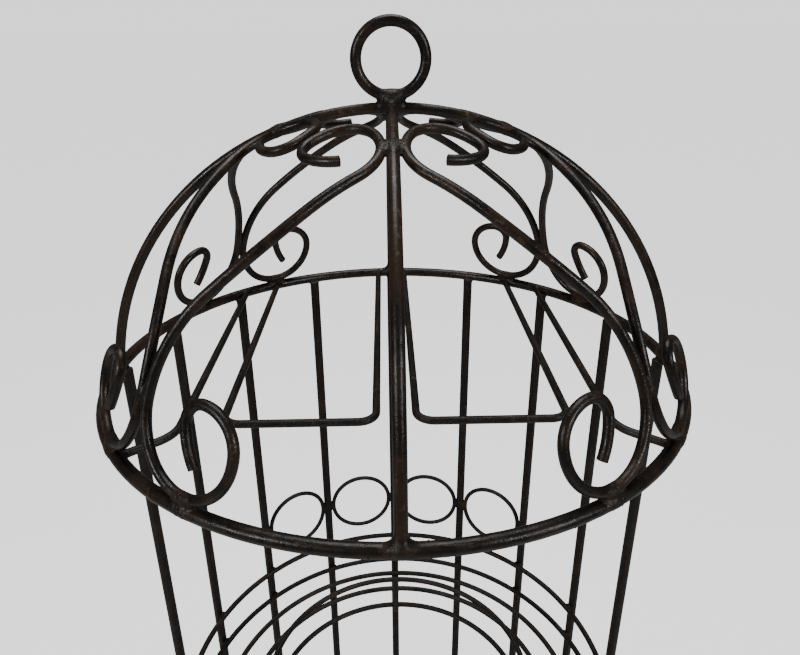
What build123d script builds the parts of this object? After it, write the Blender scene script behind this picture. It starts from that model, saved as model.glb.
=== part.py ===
from build123d import *

import os
from math import acos, asin, cos, degrees, hypot, radians, sin, sqrt

# A bird-cage bar stand: a wrought-iron rack in the shape of a domed bird cage.
#
# Nine bars make a half-round cage that is open at the front. A domed top of ribs and
# scrolls sits on them, with rails in its rim that hold stemmed glasses by the foot. Below
# are a ring-shaped bottle shelf with an open well, a round floor, and four legs. All
# pieces are round rod, welded to each other.
#
# Units are millimetres. The stand is on the floor at Z = 0, on the Z axis, and its open
# front faces -Y. Azimuths are degrees from the back (+Y) towards the right (+X).

# ---------------------------------------------------------------- overall sizes
rim_level = 1180.0  # centre of the dome's rim above the floor
rim_radius = 228.0  # centre line of the dome's rim
dome_rise = 204.0  # centre line of the ribs at the crown, above the rim
shelf_drop = 409.0  # bottle shelf below the rim
floor_drop = 730.0  # cage floor below the rim

# ---------------------------------------------------------------- rod diameters
rim_rod = 9.5
rib_rod = 8.0
scroll_rod = 7.0
bar_rod = 9.5
rail_rod = 6.0
circle_rod = 5.0
hoop_rod = 6.0
finial_rod = 8.0
leg_rod = 11.0
stretcher_rod = 8.0

weld_gap = 0.1  # between rods that are welded side by side

# ---------------------------------------------------------------- cage
bar_count = 9
bar_step = 22.5  # degrees from bar to bar, half a circle in all
bar_inset = 4.5  # the bars stand this much inside the rim's centre line
circle_drop = 311.0  # centres of the wire circles below the rim

# ---------------------------------------------------------------- glass rails
slot_pitch = 29.0  # between the two rods of a glass slot
rail_loop_width = 109.5  # between the two legs of a U-shaped rail
rail_setback = 132.0  # the rails' front is this far behind the front of the rim
rail_corner = 13.0  # bend radius of the rails' corners
side_rail_flare = 51.5  # degrees that a side rail turns outwards to meet the rim

# ---------------------------------------------------------------- shelf and floor
well_radius = 134.5  # centre line of the rings round the open well
guard_rise = 41.0  # guard hoops above the shelf
shelf_ring_count = 2  # between the shelf's hoop and the well
floor_ring_count = 6

# ---------------------------------------------------------------- finial
finial_radius = 24.75  # centre line of the ring
collar_radius = 8.5
collar_height = 9.0

# ---------------------------------------------------------------- legs
first_leg_azimuth = 45.0
leg_splay = 19.0  # degrees from straight down where a leg leaves the base ring
knee_bow = 16.5  # knee outside the bars
knee_drop = 90.0  # knee below the cage floor
ankle_inset = 27.5  # ankle inside the bars
ankle_level = 135.0
toe_reach = 40.0  # toe outside the ankle
toe_tip_reach = 16.0  # curled tip outside the toe
toe_tip_rise = 17.0  # curled tip above the toe's lowest point
pad_radius = 13.0
pad_height = 5.0
pad_seat = 1.5  # depth of the leg in its pad

# ---------------------------------------------------------------- worked-out places
shelf_level = rim_level - shelf_drop
floor_level = rim_level - floor_drop
bar_radius = rim_radius - bar_inset
hoop_radius = bar_radius - (bar_rod + hoop_rod) / 2 - weld_gap
dome_radius = (rim_radius**2 + dome_rise**2) / (2 * dome_rise)
dome_centre = Vector(0, 0, rim_level + dome_rise - dome_radius)
crown = Vector(0, 0, rim_level + dome_rise)
rail_reach = rim_radius - rail_setback
ankle_radius = bar_radius - ankle_inset
toe_radius = ankle_radius + toe_reach
toe_level = pad_height - pad_seat + leg_rod / 2
down = Vector(0, 0, -1)


# ---------------------------------------------------------------- helpers
def polar(radius, azimuth, level):
    """A point at an azimuth, counted from the back (+Y) towards the right (+X)."""
    return Vector(
        radius * sin(radians(azimuth)), radius * cos(radians(azimuth)), level
    )


def rod(path, diameter):
    """A round rod along a path, with flat ends."""
    path = Wire(path) if isinstance(path, list) else path
    section = Plane(origin=path @ 0, z_dir=path % 0) * Circle(diameter / 2)
    return sweep(section, path=path)


def hoop(radius, level, diameter):
    """A closed round hoop, level, on the stand's axis."""
    return Pos(0, 0, level) * Torus(radius, diameter / 2)


def rim_room():
    """The room that the rim takes in what is welded to it, with the weld gap."""
    return hoop(rim_radius, rim_level, rim_rod + 2 * weld_gap)


def base_room():
    """The room that the base ring takes in what is welded to it."""
    return hoop(bar_radius, floor_level, bar_rod + 2 * weld_gap)


def biarc(start, start_way, end, end_way):
    """Two arcs that leave start and reach end in the given directions."""
    chord = end - start
    both = start_way + end_way
    spread = 2 * (1 - start_way.dot(end_way))
    along = chord.dot(both)
    if spread < 1e-9:
        reach = chord.dot(chord) / (2 * along)
    else:
        reach = (sqrt(along**2 + spread * chord.dot(chord)) - along) / spread
    joint = (start + end + (start_way - end_way) * reach) * 0.5
    first = TangentArc(start, joint, tangent=start_way)
    second = TangentArc(joint, end, tangent=first % 1)
    return [first, second]


def smooth_line(stations):
    """Arcs through stations, each a point and a direction."""
    edges = []
    for (start, start_way), (end, end_way) in zip(stations, stations[1:]):
        edges += biarc(start, start_way, end, end_way)
    return edges


def save(name, solid):
    """Writes one piece as its own node."""
    if not isinstance(solid, Compound):
        solid = Compound(children=[solid])
    solid.label = name
    export_step(solid, os.path.join("parts", name + ".step"))


# ---------------------------------------------------------------- dome
def dome_point(angle, height):
    """A point of the dome's sphere, at an azimuth and a height above the rim."""
    level = rim_level + height
    radius = sqrt(dome_radius**2 - (level - dome_centre.Z) ** 2)
    return polar(radius, angle, level)


def dome_heading(point, heading):
    """A direction in the dome's surface: 0 is straight down, 90 is clockwise round it."""
    outward = (point - dome_centre).normalized()
    across = Vector(point.Y, -point.X, 0).normalized()
    down = across.cross(outward)
    down = down if down.Z < 0 else down * -1
    return down * cos(radians(heading)) + across * sin(radians(heading))


def along_plane(point, normal):
    """The direction down the dome that stays level with a plane through its axis."""
    way = normal.cross(point - dome_centre).normalized()
    return way if way.Z < 0 else way * -1


def station(angle, share, heading):
    """A station of the scroll: azimuth from its rib, share of the rise, direction."""
    point = dome_point(angle, share * dome_rise)
    return point, dome_heading(point, heading)


def beside_plane(plane_azimuth, offset, share):
    """A station at a distance from a vertical plane through the axis, running along it."""
    height = share * dome_rise
    radius = hypot(*tuple(dome_point(0, height))[:2])
    angle = plane_azimuth + degrees(asin(offset / radius))
    normal = polar(1, plane_azimuth + 90, 0)
    point = dome_point(angle, height)
    return point, along_plane(point, normal)


def on_rim(angle):
    """The station where a scroll lies on the rim and runs back along it."""
    apart = (rim_rod + scroll_rod) / 2 + weld_gap
    # The dome passes through the rim's centre line, so this is the chord's height.
    turn = 2 * asin(apart / (2 * dome_radius))
    foot = acos((rim_level - dome_centre.Z) / dome_radius)
    height = dome_centre.Z + dome_radius * cos(foot - turn) - rim_level
    point = dome_point(angle, height)
    return point, dome_heading(point, -90)


def scroll():
    """One scroll, on the back rib's right: a hook, a long run and a larger curl."""
    rib_apart = (rib_rod + scroll_rod) / 2 + weld_gap
    partner_apart = (scroll_rod + weld_gap) / 2
    stations = [
        station(20.0, 0.895, 75),
        station(41.0, 0.922, 180),
        station(24.0, 0.963, -90),
        beside_plane(0, rib_apart, 0.925),
        station(22.0, 0.790, 32),
        beside_plane(45, -partner_apart, 0.270),
        on_rim(33.5),
        station(24.5, 0.207, 180),
        station(31.0, 0.318, 90),
        station(31.5, 0.140, -34),
    ]
    return rod(smooth_line(stations), scroll_rod)


def side_rib():
    """The rib that runs over the dome in one piece, from the left to the right."""
    left, right = polar(rim_radius, -90, rim_level), polar(rim_radius, 90, rim_level)
    return rod([ThreePointArc(left, crown, right)], rib_rod)


def half_rib(azimuth):
    """A rib from the crown to the rim, before its ends are cut to fit."""
    foot = polar(rim_radius, azimuth, rim_level)
    middle = dome_point(azimuth, dome_rise * 0.7)
    return rod([ThreePointArc(crown, middle, foot)], rib_rod)


def build_dome():
    """The rim, four rib ends on it, and eight scrolls in four mirrored pairs."""
    save("dome_rim", hoop(rim_radius, rim_level, rim_rod))
    save("side_rib", side_rib() - rim_room())
    side_rib_room = over_crown(90)
    save("back_rib", half_rib(0) - rim_room() - side_rib_room)
    save("front_rib", half_rib(180) - rim_room() - side_rib_room)
    quarters = ["back_right", "front_right", "front_left", "back_left"]
    ribs = ["back", "right", "front", "left"]
    one = scroll()
    other = one.mirror(Plane(origin=(0, 0, 0), z_dir=(1, -1, 0)))
    for turn, quarter in enumerate(quarters):
        place = Rot(0, 0, -90 * turn)
        next_rib = ribs[(turn + 1) % 4]
        save(f"scroll_{quarter}_on_{ribs[turn]}_rib", place * one)
        save(f"scroll_{quarter}_on_{next_rib}_rib", place * other)


def over_crown(azimuth):
    """The room that a rib takes as it runs over the crown, with the weld gap."""
    ends = [dome_point(azimuth + side, dome_rise * 0.9) for side in (0, 180)]
    line = ThreePointArc(ends[0], crown, ends[1])
    return rod([line], rib_rod + 2 * weld_gap)


def build_finial():
    """The ring on the crown, and the collar that joins it to the ribs."""
    outer = finial_radius + finial_rod / 2
    centre = crown + Vector(0, 0, rib_rod / 2 + weld_gap + outer)
    upright = Pos(*centre) * Rot(90, 0, 0)
    save("finial_ring", upright * Torus(finial_radius, finial_rod / 2))
    ring_room = upright * Torus(finial_radius, finial_rod / 2 + weld_gap)
    middle = crown + Vector(0, 0, rib_rod / 4 + collar_height / 2)
    collar = Pos(*middle) * Cylinder(collar_radius, collar_height)
    collar = fillet(collar.edges(), collar_height / 4)
    save("finial_collar", collar - ring_room - over_crown(0) - over_crown(90))


# ---------------------------------------------------------------- glass rails
def back_of_rim(x):
    """The point on the back of the rim at this distance from the middle."""
    return Vector(x, sqrt(rim_radius**2 - x**2), rim_level)


def flared_end(bend, way):
    """Where a side rail meets the rim after it turns outwards at its bend."""
    heading = Vector(way * sin(radians(side_rail_flare)), -cos(radians(side_rail_flare)), 0)
    flat = Vector(bend.X, bend.Y, 0)
    along = flat.dot(heading)
    reach = sqrt(along**2 + rim_radius**2 - flat.dot(flat)) - along
    return bend + heading * reach


def build_rails():
    """Two U-shaped rails and two side rails, which make three slots for glasses."""
    inner = slot_pitch / 2
    outer = inner + rail_loop_width
    side = outer + slot_pitch
    for name, way in (("left", -1), ("right", 1)):
        corners = [Vector(way * x, -rail_reach, rim_level) for x in (inner, outer)]
        ends = [back_of_rim(way * x) for x in (inner, outer)]
        loop = FilletPolyline(ends[0], *corners, ends[1], radius=rail_corner)
        save(f"glass_rail_{name}_loop", rod(loop, rail_rod) - rim_room())
        bend = Vector(way * side, -rail_reach - rail_corner, rim_level)
        points = [back_of_rim(way * side), bend, flared_end(bend, way)]
        line = FilletPolyline(*points, radius=rail_corner * 2)
        save(f"glass_rail_{name}_side", rod(line, rail_rod) - rim_room())


# ---------------------------------------------------------------- cage
def bar_azimuths():
    """Azimuths of the bars, from the left round the back to the right."""
    first = -bar_step * (bar_count - 1) / 2
    return [first + bar_step * number for number in range(bar_count)]


def build_bars():
    """Bars from the base ring to the rim, with both ends cut to the rings."""
    top = rim_level - rail_rod / 2 - weld_gap
    bottom = floor_level + hoop_rod / 2 + weld_gap
    for number, azimuth in enumerate(bar_azimuths(), start=1):
        line = Line(*[polar(bar_radius, azimuth, level) for level in (bottom, top)])
        bar = rod(line, bar_rod) - rim_room() - base_room()
        save(f"cage_bar_{number}", bar)


def build_circles():
    """Wire circles between the five bars at the back."""
    middle = bar_count // 2
    gaps = range(middle - 2, middle + 2)
    azimuths = bar_azimuths()
    half_chord = bar_radius * sin(radians(bar_step / 2))
    distance = bar_radius * cos(radians(bar_step / 2))
    radius = half_chord - bar_rod / 2 - weld_gap - circle_rod / 2
    for number, gap in enumerate(gaps, start=1):
        azimuth = azimuths[gap] + bar_step / 2
        circle = Torus(radius, circle_rod / 2)
        place = Rot(0, 0, -azimuth) * Pos(0, distance, rim_level - circle_drop)
        save(f"band_circle_{number}", place * Rot(90, 0, 0) * circle)


# ---------------------------------------------------------------- bottle shelf
def build_shelf():
    """The ring-shaped shelf: hoops, rings, a guard hoop each side, and brackets."""
    save("shelf_hoop", hoop(hoop_radius, shelf_level, hoop_rod))
    save("shelf_guard_hoop", hoop(hoop_radius, shelf_level + guard_rise, hoop_rod))
    save("well_ring", hoop(well_radius, shelf_level, hoop_rod))
    save("well_guard_ring", hoop(well_radius, shelf_level + guard_rise, hoop_rod))
    pitch = (hoop_radius - well_radius) / (shelf_ring_count + 1)
    for number in range(1, shelf_ring_count + 1):
        radius = hoop_radius - pitch * number
        save(f"shelf_ring_{number}", hoop(radius, shelf_level, hoop_rod))
    # The brackets bend round the rings, so their bend has the same centre as the ring.
    apart = hoop_rod + weld_gap
    under = shelf_level - apart
    top = shelf_level + guard_rise + hoop_rod / 2
    bar_face = bar_radius - bar_rod / 2 - weld_gap
    for name, azimuth in (("back", 0), ("right", 90), ("front", 180), ("left", 270)):
        line = [
            polar(well_radius - apart, azimuth, top),
            polar(well_radius - apart, azimuth, under),
            polar(bar_face, azimuth, under),
        ]
        if name == "front":
            line[-1] = polar(hoop_radius + apart, azimuth, under)
            line.append(polar(hoop_radius + apart, azimuth, top))
        path = FilletPolyline(*line, radius=apart)
        save(f"shelf_bracket_{name}", rod(path, hoop_rod))


# ---------------------------------------------------------------- cage floor
def build_floor():
    """The base ring with a cross of rods, floor rings on it, and a guard hoop."""
    save("base_ring", hoop(bar_radius, floor_level, bar_rod))
    across = Line(*[polar(bar_radius, side, floor_level) for side in (-90, 90)])
    save("floor_cross_rod", rod(across, hoop_rod) - base_room())
    cross_room = rod(across, hoop_rod + 2 * weld_gap)
    for name, azimuth in (("back", 0), ("front", 180)):
        line = Line(Vector(0, 0, floor_level), polar(bar_radius, azimuth, floor_level))
        save(f"floor_{name}_rod", rod(line, hoop_rod) - base_room() - cross_room)
    ring_level = floor_level + hoop_rod + weld_gap
    pitch = hoop_radius / (floor_ring_count + 2)
    for number in range(1, floor_ring_count + 1):
        radius = hoop_radius - pitch * number
        save(f"floor_ring_{number}", hoop(radius, ring_level, hoop_rod))
    guard_level = floor_level + guard_rise
    save("floor_guard_hoop", hoop(hoop_radius, guard_level, hoop_rod))
    post_radius = hoop_radius + hoop_rod + weld_gap
    post = Line(
        polar(post_radius, 180, floor_level + hoop_rod / 2 + weld_gap),
        polar(post_radius, 180, guard_level + hoop_rod / 2),
    )
    save("floor_front_post", rod(post, hoop_rod) - base_room())


# ---------------------------------------------------------------- legs
def toe_stations(azimuth):
    """The lower end of a leg's line, from the ankle to the curled tip."""
    out = polar(1, azimuth, 0)
    tip_radius, tip_level = toe_radius + toe_tip_reach, toe_level + toe_tip_rise
    return [
        (polar(ankle_radius, azimuth, ankle_level), down),
        (polar(toe_radius, azimuth, toe_level), out),
        (polar(tip_radius, azimuth, tip_level), down * -1),
    ]


def leg(azimuth):
    """A leg that bows out at the knee, in at the ankle and curls up at the toe."""
    out = polar(1, azimuth, 0)
    splay = down * cos(radians(leg_splay)) + out * sin(radians(leg_splay))
    stations = [
        (polar(bar_radius, azimuth, floor_level), splay),
        (polar(bar_radius + knee_bow, azimuth, floor_level - knee_drop), down),
        *toe_stations(azimuth),
    ]
    pieces = (rod(smooth_line(stations), leg_rod) - base_room()).solids()
    return max(pieces, key=lambda piece: piece.volume)


def foot_pad(azimuth):
    """The round pad under a toe, hollowed where the toe lies in it."""
    middle = polar(toe_radius, azimuth, pad_height / 2)
    toe_room = rod(smooth_line(toe_stations(azimuth)), leg_rod + 2 * weld_gap)
    return Pos(*middle) * Cylinder(pad_radius, pad_height) - toe_room


def build_legs():
    """Four legs, the ring that ties them, and the pads under their toes."""
    sides = ["back_right", "front_right", "front_left", "back_left"]
    azimuths = [first_leg_azimuth + 90 * number for number in range(4)]
    for side, azimuth in zip(sides, azimuths):
        save(f"leg_{side}", leg(azimuth))
    tie_radius = ankle_radius - (leg_rod + stretcher_rod) / 2 - weld_gap
    save("leg_tie_ring", hoop(tie_radius, ankle_level, stretcher_rod))
    save("foot_pads", Compound(children=[foot_pad(azimuth) for azimuth in azimuths]))


os.makedirs("parts", exist_ok=True)
build_dome()
build_finial()
build_rails()
build_bars()
build_circles()
build_shelf()
build_floor()
build_legs()
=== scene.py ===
"""The looks of a bird-cage bar stand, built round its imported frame.

The stand is a wrought-iron rack in the shape of a domed bird cage. Each rod of it is a
node of the frame and keeps its shape. This script paints the rods with worn black paint,
and adds what the smith left on them: welds, spatter and the burrs on cut rod ends.

Sizes are metres. The open front faces -Y. Azimuths are degrees from the back (+Y)
towards the right (+X).
"""

import logging
import math
import random
from collections.abc import Callable, Iterable, Iterator, Sequence
from dataclasses import dataclass, field, replace
from enum import Enum
from typing import Any

import bmesh
import bpy
from mathutils import Matrix, Vector


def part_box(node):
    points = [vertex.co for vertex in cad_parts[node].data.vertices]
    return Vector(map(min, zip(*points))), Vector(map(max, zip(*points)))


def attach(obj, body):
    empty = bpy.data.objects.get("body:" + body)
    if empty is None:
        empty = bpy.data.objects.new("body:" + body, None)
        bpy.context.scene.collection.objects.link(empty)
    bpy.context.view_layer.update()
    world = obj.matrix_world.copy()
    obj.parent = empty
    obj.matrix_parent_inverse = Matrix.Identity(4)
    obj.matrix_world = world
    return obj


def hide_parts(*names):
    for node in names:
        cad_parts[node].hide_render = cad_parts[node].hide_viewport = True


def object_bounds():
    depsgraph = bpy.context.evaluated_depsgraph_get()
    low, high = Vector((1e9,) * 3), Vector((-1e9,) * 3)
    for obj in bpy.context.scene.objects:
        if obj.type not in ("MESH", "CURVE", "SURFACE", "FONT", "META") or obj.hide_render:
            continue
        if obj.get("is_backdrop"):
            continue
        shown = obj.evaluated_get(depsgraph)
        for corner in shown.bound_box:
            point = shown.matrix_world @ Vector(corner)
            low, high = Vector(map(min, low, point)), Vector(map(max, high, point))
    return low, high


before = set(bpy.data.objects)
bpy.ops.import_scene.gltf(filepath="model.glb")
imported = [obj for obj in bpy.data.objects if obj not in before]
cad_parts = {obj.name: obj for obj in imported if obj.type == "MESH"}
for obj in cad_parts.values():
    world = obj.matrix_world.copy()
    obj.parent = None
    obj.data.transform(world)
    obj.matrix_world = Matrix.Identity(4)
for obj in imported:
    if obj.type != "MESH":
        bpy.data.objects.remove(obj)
CAD_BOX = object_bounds()

log = logging.getLogger("stand")

MM = 0.001
UP = Vector((0, 0, 1))
BODY = "root"
QUARTERS = (0.0, 90.0, 180.0, 270.0)

Colour = tuple[float, float, float]


# ------------------------------------------------------------------ places and sizes
def polar(radius: float, azimuth: float, level: float) -> Vector:
    """Gives a point at an azimuth from the back towards the right.

    Args:
        radius: distance from the stand's axis.
        azimuth: degrees from the back towards the right.
        level: height above the ground.

    Returns:
        The point.
    """
    turn = math.radians(azimuth)
    return Vector((radius * math.sin(turn), radius * math.cos(turn), level))


def outward(azimuth: float) -> Vector:
    """Gives the level direction away from the stand's axis at an azimuth."""
    return polar(1.0, azimuth, 0.0)


def azimuth_of(point: Vector) -> float:
    """Gives a point's azimuth in degrees."""
    return math.degrees(math.atan2(point.x, point.y))


def around(azimuth: float) -> Vector:
    """Gives the level direction round the stand's axis at an azimuth."""
    return polar(1.0, azimuth + 90.0, 0.0)


def nodes_named(start: str) -> list[str]:
    """Lists the frame's nodes whose names begin with a word."""
    return sorted(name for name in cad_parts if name.startswith(start))


@dataclass(frozen=True)
class Hoop:
    """A level hoop of round rod on the stand's axis."""

    level: float
    radius: float
    rod: float

    @classmethod
    def of(cls, node: str) -> "Hoop":
        """Reads a hoop's sizes from its node.

        Args:
            node: name of the hoop's node.

        Returns:
            The hoop, with the radius of its centre line and the rod's radius.
        """
        low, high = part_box(node)
        rod = (high.z - low.z) / 2
        return cls((low.z + high.z) / 2, (high.x - low.x) / 2 - rod, rod)

    def at(self, azimuth: float, outside: float = 0.0, above: float = 0.0) -> Vector:
        """Gives a point near the hoop's centre line.

        Args:
            azimuth: where on the hoop.
            outside: distance outwards from the centre line.
            above: distance upwards from the centre line.

        Returns:
            The point.
        """
        return polar(self.radius + outside, azimuth, self.level + above)


@dataclass(frozen=True)
class Upright:
    """A vertical bar of round rod."""

    axis: Vector
    bottom: float
    top: float
    rod: float

    @classmethod
    def of(cls, node: str) -> "Upright":
        """Reads a bar's sizes from its node.

        Args:
            node: name of the bar's node.

        Returns:
            The bar, with its axis at ground level and the rod's radius.
        """
        low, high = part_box(node)
        axis = Vector(((low.x + high.x) / 2, (low.y + high.y) / 2, 0.0))
        return cls(axis, low.z, high.z, (high.x - low.x) / 2)

    @property
    def azimuth(self) -> float:
        """Gives the bar's azimuth in degrees."""
        return azimuth_of(self.axis)


@dataclass(frozen=True)
class DomeShape:
    """The sphere that the ribs and scrolls lie in."""

    rim: Hoop
    rise: float
    rib: float

    @classmethod
    def read(cls) -> "DomeShape":
        """Reads the dome's sizes from the rim and the rib that runs over it."""
        rim = Hoop.of("dome_rim")
        low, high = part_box("side_rib")
        rib = (high.y - low.y) / 2
        return cls(rim, high.z - rib - rim.level, rib)

    @property
    def radius(self) -> float:
        """Gives the sphere's radius."""
        return (self.rim.radius**2 + self.rise**2) / (2 * self.rise)

    @property
    def centre(self) -> Vector:
        """Gives the sphere's centre."""
        return UP * (self.rim.level + self.rise - self.radius)

    @property
    def crown(self) -> Vector:
        """Gives the crossing of the ribs' centre lines."""
        return UP * (self.rim.level + self.rise)

    def point(self, azimuth: float, share: float) -> Vector:
        """Gives a point of the sphere.

        Args:
            azimuth: degrees from the back towards the right.
            share: share of the dome's rise above the rim.

        Returns:
            The point.
        """
        level = self.rim.level + share * self.rise
        flat = math.sqrt(self.radius**2 - (level - self.centre.z) ** 2)
        return polar(flat, azimuth, level)

    def outward(self, point: Vector) -> Vector:
        """Gives the direction out of the sphere at a point of it."""
        return (point - self.centre).normalized()

    def upward(self, point: Vector) -> Vector:
        """Gives the direction up the sphere at a point of it."""
        normal = self.outward(point)
        return (UP - normal * UP.dot(normal)).normalized()

    def heading(self, point: Vector, degrees: float) -> Vector:
        """Gives a direction in the sphere's surface.

        Args:
            point: a point of the sphere.
            degrees: 0 is straight down, and 90 is clockwise seen from above.

        Returns:
            The direction.
        """
        across = Vector((point.y, -point.x, 0.0)).normalized()
        turn = math.radians(degrees)
        return self.upward(point) * -math.cos(turn) + across * math.sin(turn)


DOME = DomeShape.read()


# ------------------------------------------------------------------ node trees
class TreeWriter:
    """Adds nodes to one node tree and joins them."""

    def __init__(self, tree: bpy.types.NodeTree) -> None:
        """Keeps the tree that the nodes go in."""
        self.tree = tree

    def add(
        self,
        kind: str,
        feeds: dict[Any, Any] | None = None,
        **settings: Any,
    ) -> bpy.types.Node:
        """Adds a node.

        Args:
            kind: Blender's name for the kind of node.
            feeds: what goes into each input, a socket or a plain value.
            settings: the node's own settings.

        Returns:
            The node.
        """
        node = self.tree.nodes.new(kind)
        for name, value in settings.items():
            setattr(node, name, value)
        for key, value in (feeds or {}).items():
            if isinstance(value, bpy.types.NodeSocket):
                self.tree.links.new(value, node.inputs[key])
            else:
                node.inputs[key].default_value = value
        return node

    def maths(self, operation: str, *values: Any) -> bpy.types.NodeSocket:
        """Adds a Math node and gives its result."""
        node = self.add("ShaderNodeMath", dict(enumerate(values)), operation=operation)
        return node.outputs[0]

    def mixed(self, share: Any, first: Any, second: Any) -> bpy.types.NodeSocket:
        """Adds a colour Mix node and gives its result."""
        feeds = {0: share, 6: first, 7: second}
        node = self.add("ShaderNodeMix", feeds, data_type="RGBA", clamp_factor=True)
        return node.outputs[2]

    def between(self, value: Any, low: Any, high: Any) -> bpy.types.NodeSocket:
        """Adds a Map Range node that goes smoothly from 0 at low to 1 at high."""
        feeds = {"Value": value, "From Min": low, "From Max": high}
        kind = "ShaderNodeMapRange"
        return self.add(kind, feeds, interpolation_type="SMOOTHSTEP").outputs[0]

    def noise(
        self, place: Any, scale: Any, detail: float, along: Any = None
    ) -> bpy.types.NodeSocket:
        """Adds a Noise node.

        Args:
            place: the vector to read it at.
            scale: waves per metre.
            detail: octaves.
            along: a fourth coordinate, or None.

        Returns:
            The socket of its value.
        """
        feeds = {"Vector": place, "Scale": scale, "Detail": detail}
        settings = {}
        if along is not None:
            feeds["W"] = along
            settings["noise_dimensions"] = "4D"
        kind = "ShaderNodeTexNoise"
        node = self.add(kind, None, **settings)
        for key, value in feeds.items():
            if isinstance(value, bpy.types.NodeSocket):
                self.tree.links.new(value, node.inputs[key])
            else:
                node.inputs[key].default_value = value
        return node.outputs[0]


class ShaderGroup(TreeWriter):
    """A shader node group with named inputs and outputs."""

    def __init__(self, name: str, inputs: dict[str, Any], outputs: dict[str, str]) -> None:
        """Makes the group and its sockets.

        Args:
            name: the group's name.
            inputs: each input's name, and its plain value.
            outputs: each output's name, and its kind of socket.
        """
        tree = bpy.data.node_groups.new(name, "ShaderNodeTree")
        super().__init__(tree)
        for label, value in inputs.items():
            kind = "NodeSocketFloat"
            if isinstance(value, tuple):
                kind = "NodeSocketColor" if len(value) == 4 else "NodeSocketVector"
            socket = tree.interface.new_socket(label, in_out="INPUT", socket_type=kind)
            socket.default_value = value
        for label, kind in outputs.items():
            tree.interface.new_socket(label, in_out="OUTPUT", socket_type=kind)
        self.given = self.add("NodeGroupInput").outputs
        self.result = self.add("NodeGroupOutput").inputs

    def put(self, label: str, socket: bpy.types.NodeSocket) -> None:
        """Joins a socket to one of the group's outputs."""
        self.tree.links.new(socket, self.result[label])


ORIGIN = (0.0, 0.0, 0.0)
WHITE = (1.0, 1.0, 1.0, 1.0)


def make_patina() -> bpy.types.NodeTree:
    """Makes the group that browns and rusts a paint in blotches.

    Returns:
        The group, which puts out a colour and a mask of the rust.
    """
    inputs = {
        "Vector": ORIGIN,
        "Paint": WHITE,
        "Brown": WHITE,
        "Rust": WHITE,
        "Brown Amount": 0.5,
        "Rust Amount": 0.2,
        "Blotches": 30.0,
    }
    outputs = {"Colour": "NodeSocketColor", "Rust Mask": "NodeSocketFloat"}
    group = ShaderGroup("patina", inputs, outputs)
    given = group.given
    blotch = group.noise(given["Vector"], given["Blotches"], 5.0)
    brown_from = group.maths("MULTIPLY_ADD", given["Brown Amount"], -0.32, 0.62)
    brown_to = group.maths("ADD", brown_from, 0.16)
    brown = group.between(blotch, brown_from, brown_to)
    speck_scale = group.maths("MULTIPLY", given["Blotches"], 7.0)
    speck = group.noise(given["Vector"], speck_scale, 7.0)
    both = group.maths("MULTIPLY_ADD", blotch, 0.35, group.maths("MULTIPLY", speck, 0.65))
    rust_from = group.maths("MULTIPLY_ADD", given["Rust Amount"], -0.25, 0.62)
    rust_to = group.maths("ADD", rust_from, 0.08)
    rust = group.between(both, rust_from, rust_to)
    shade = group.between(speck, 0.25, 0.75)
    dark = group.mixed(shade, given["Paint"], group.mixed(0.5, given["Paint"], given["Brown"]))
    painted = group.mixed(brown, dark, given["Brown"])
    group.put("Colour", group.mixed(rust, painted, given["Rust"]))
    group.put("Rust Mask", rust)
    return group.tree


def make_brushwork() -> bpy.types.NodeTree:
    """Makes the group of long brush marks and scratches that follow a rod.

    Returns:
        The group, which puts out a mask of the marks.
    """
    inputs = {"Vector": ORIGIN, "Along": 0.0, "Marks": 900.0, "Amount": 0.5}
    group = ShaderGroup("brushwork", inputs, {"Mask": "NodeSocketFloat"})
    given = group.given
    marks = group.noise(given["Vector"], given["Marks"], 2.0, given["Along"])
    mark_from = group.maths("MULTIPLY_ADD", given["Amount"], -0.20, 0.66)
    mark_to = group.maths("ADD", mark_from, 0.10)
    group.put("Mask", group.between(marks, mark_from, mark_to))
    return group.tree


def make_pitting() -> bpy.types.NodeTree:
    """Makes the group of waves, pits and grit in a painted iron surface.

    Returns:
        The group, which puts out a height and a change of roughness.
    """
    inputs = {"Vector": ORIGIN, "Waves": 110.0, "Wave Height": 1.0, "Pits": 420.0}
    outputs = {"Height": "NodeSocketFloat", "Dullness": "NodeSocketFloat"}
    group = ShaderGroup("pitting", inputs, outputs)
    given = group.given
    waves = group.noise(given["Vector"], given["Waves"], 3.0)
    high = group.maths("MULTIPLY", waves, given["Wave Height"])
    feeds = {"Vector": given["Vector"], "Scale": given["Pits"]}
    cells = group.add("ShaderNodeTexVoronoi", feeds).outputs["Distance"]
    pits = group.between(cells, 0.0, 0.35)
    grit = group.noise(given["Vector"], 1500.0, 4.0)
    fine = group.maths("MULTIPLY_ADD", grit, 0.22, group.maths("MULTIPLY", pits, 0.18))
    group.put("Height", group.maths("ADD", high, fine))
    group.put("Dullness", group.maths("SUBTRACT", waves, 0.5))
    return group.tree


class Grain(Enum):
    """Which way the brush marks of a finish run."""

    UPRIGHT = "up the rod"
    ROUND = "round the stand's axis"
    LENGTHWISE = "front to back"
    OVER = "over the dome"


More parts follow.
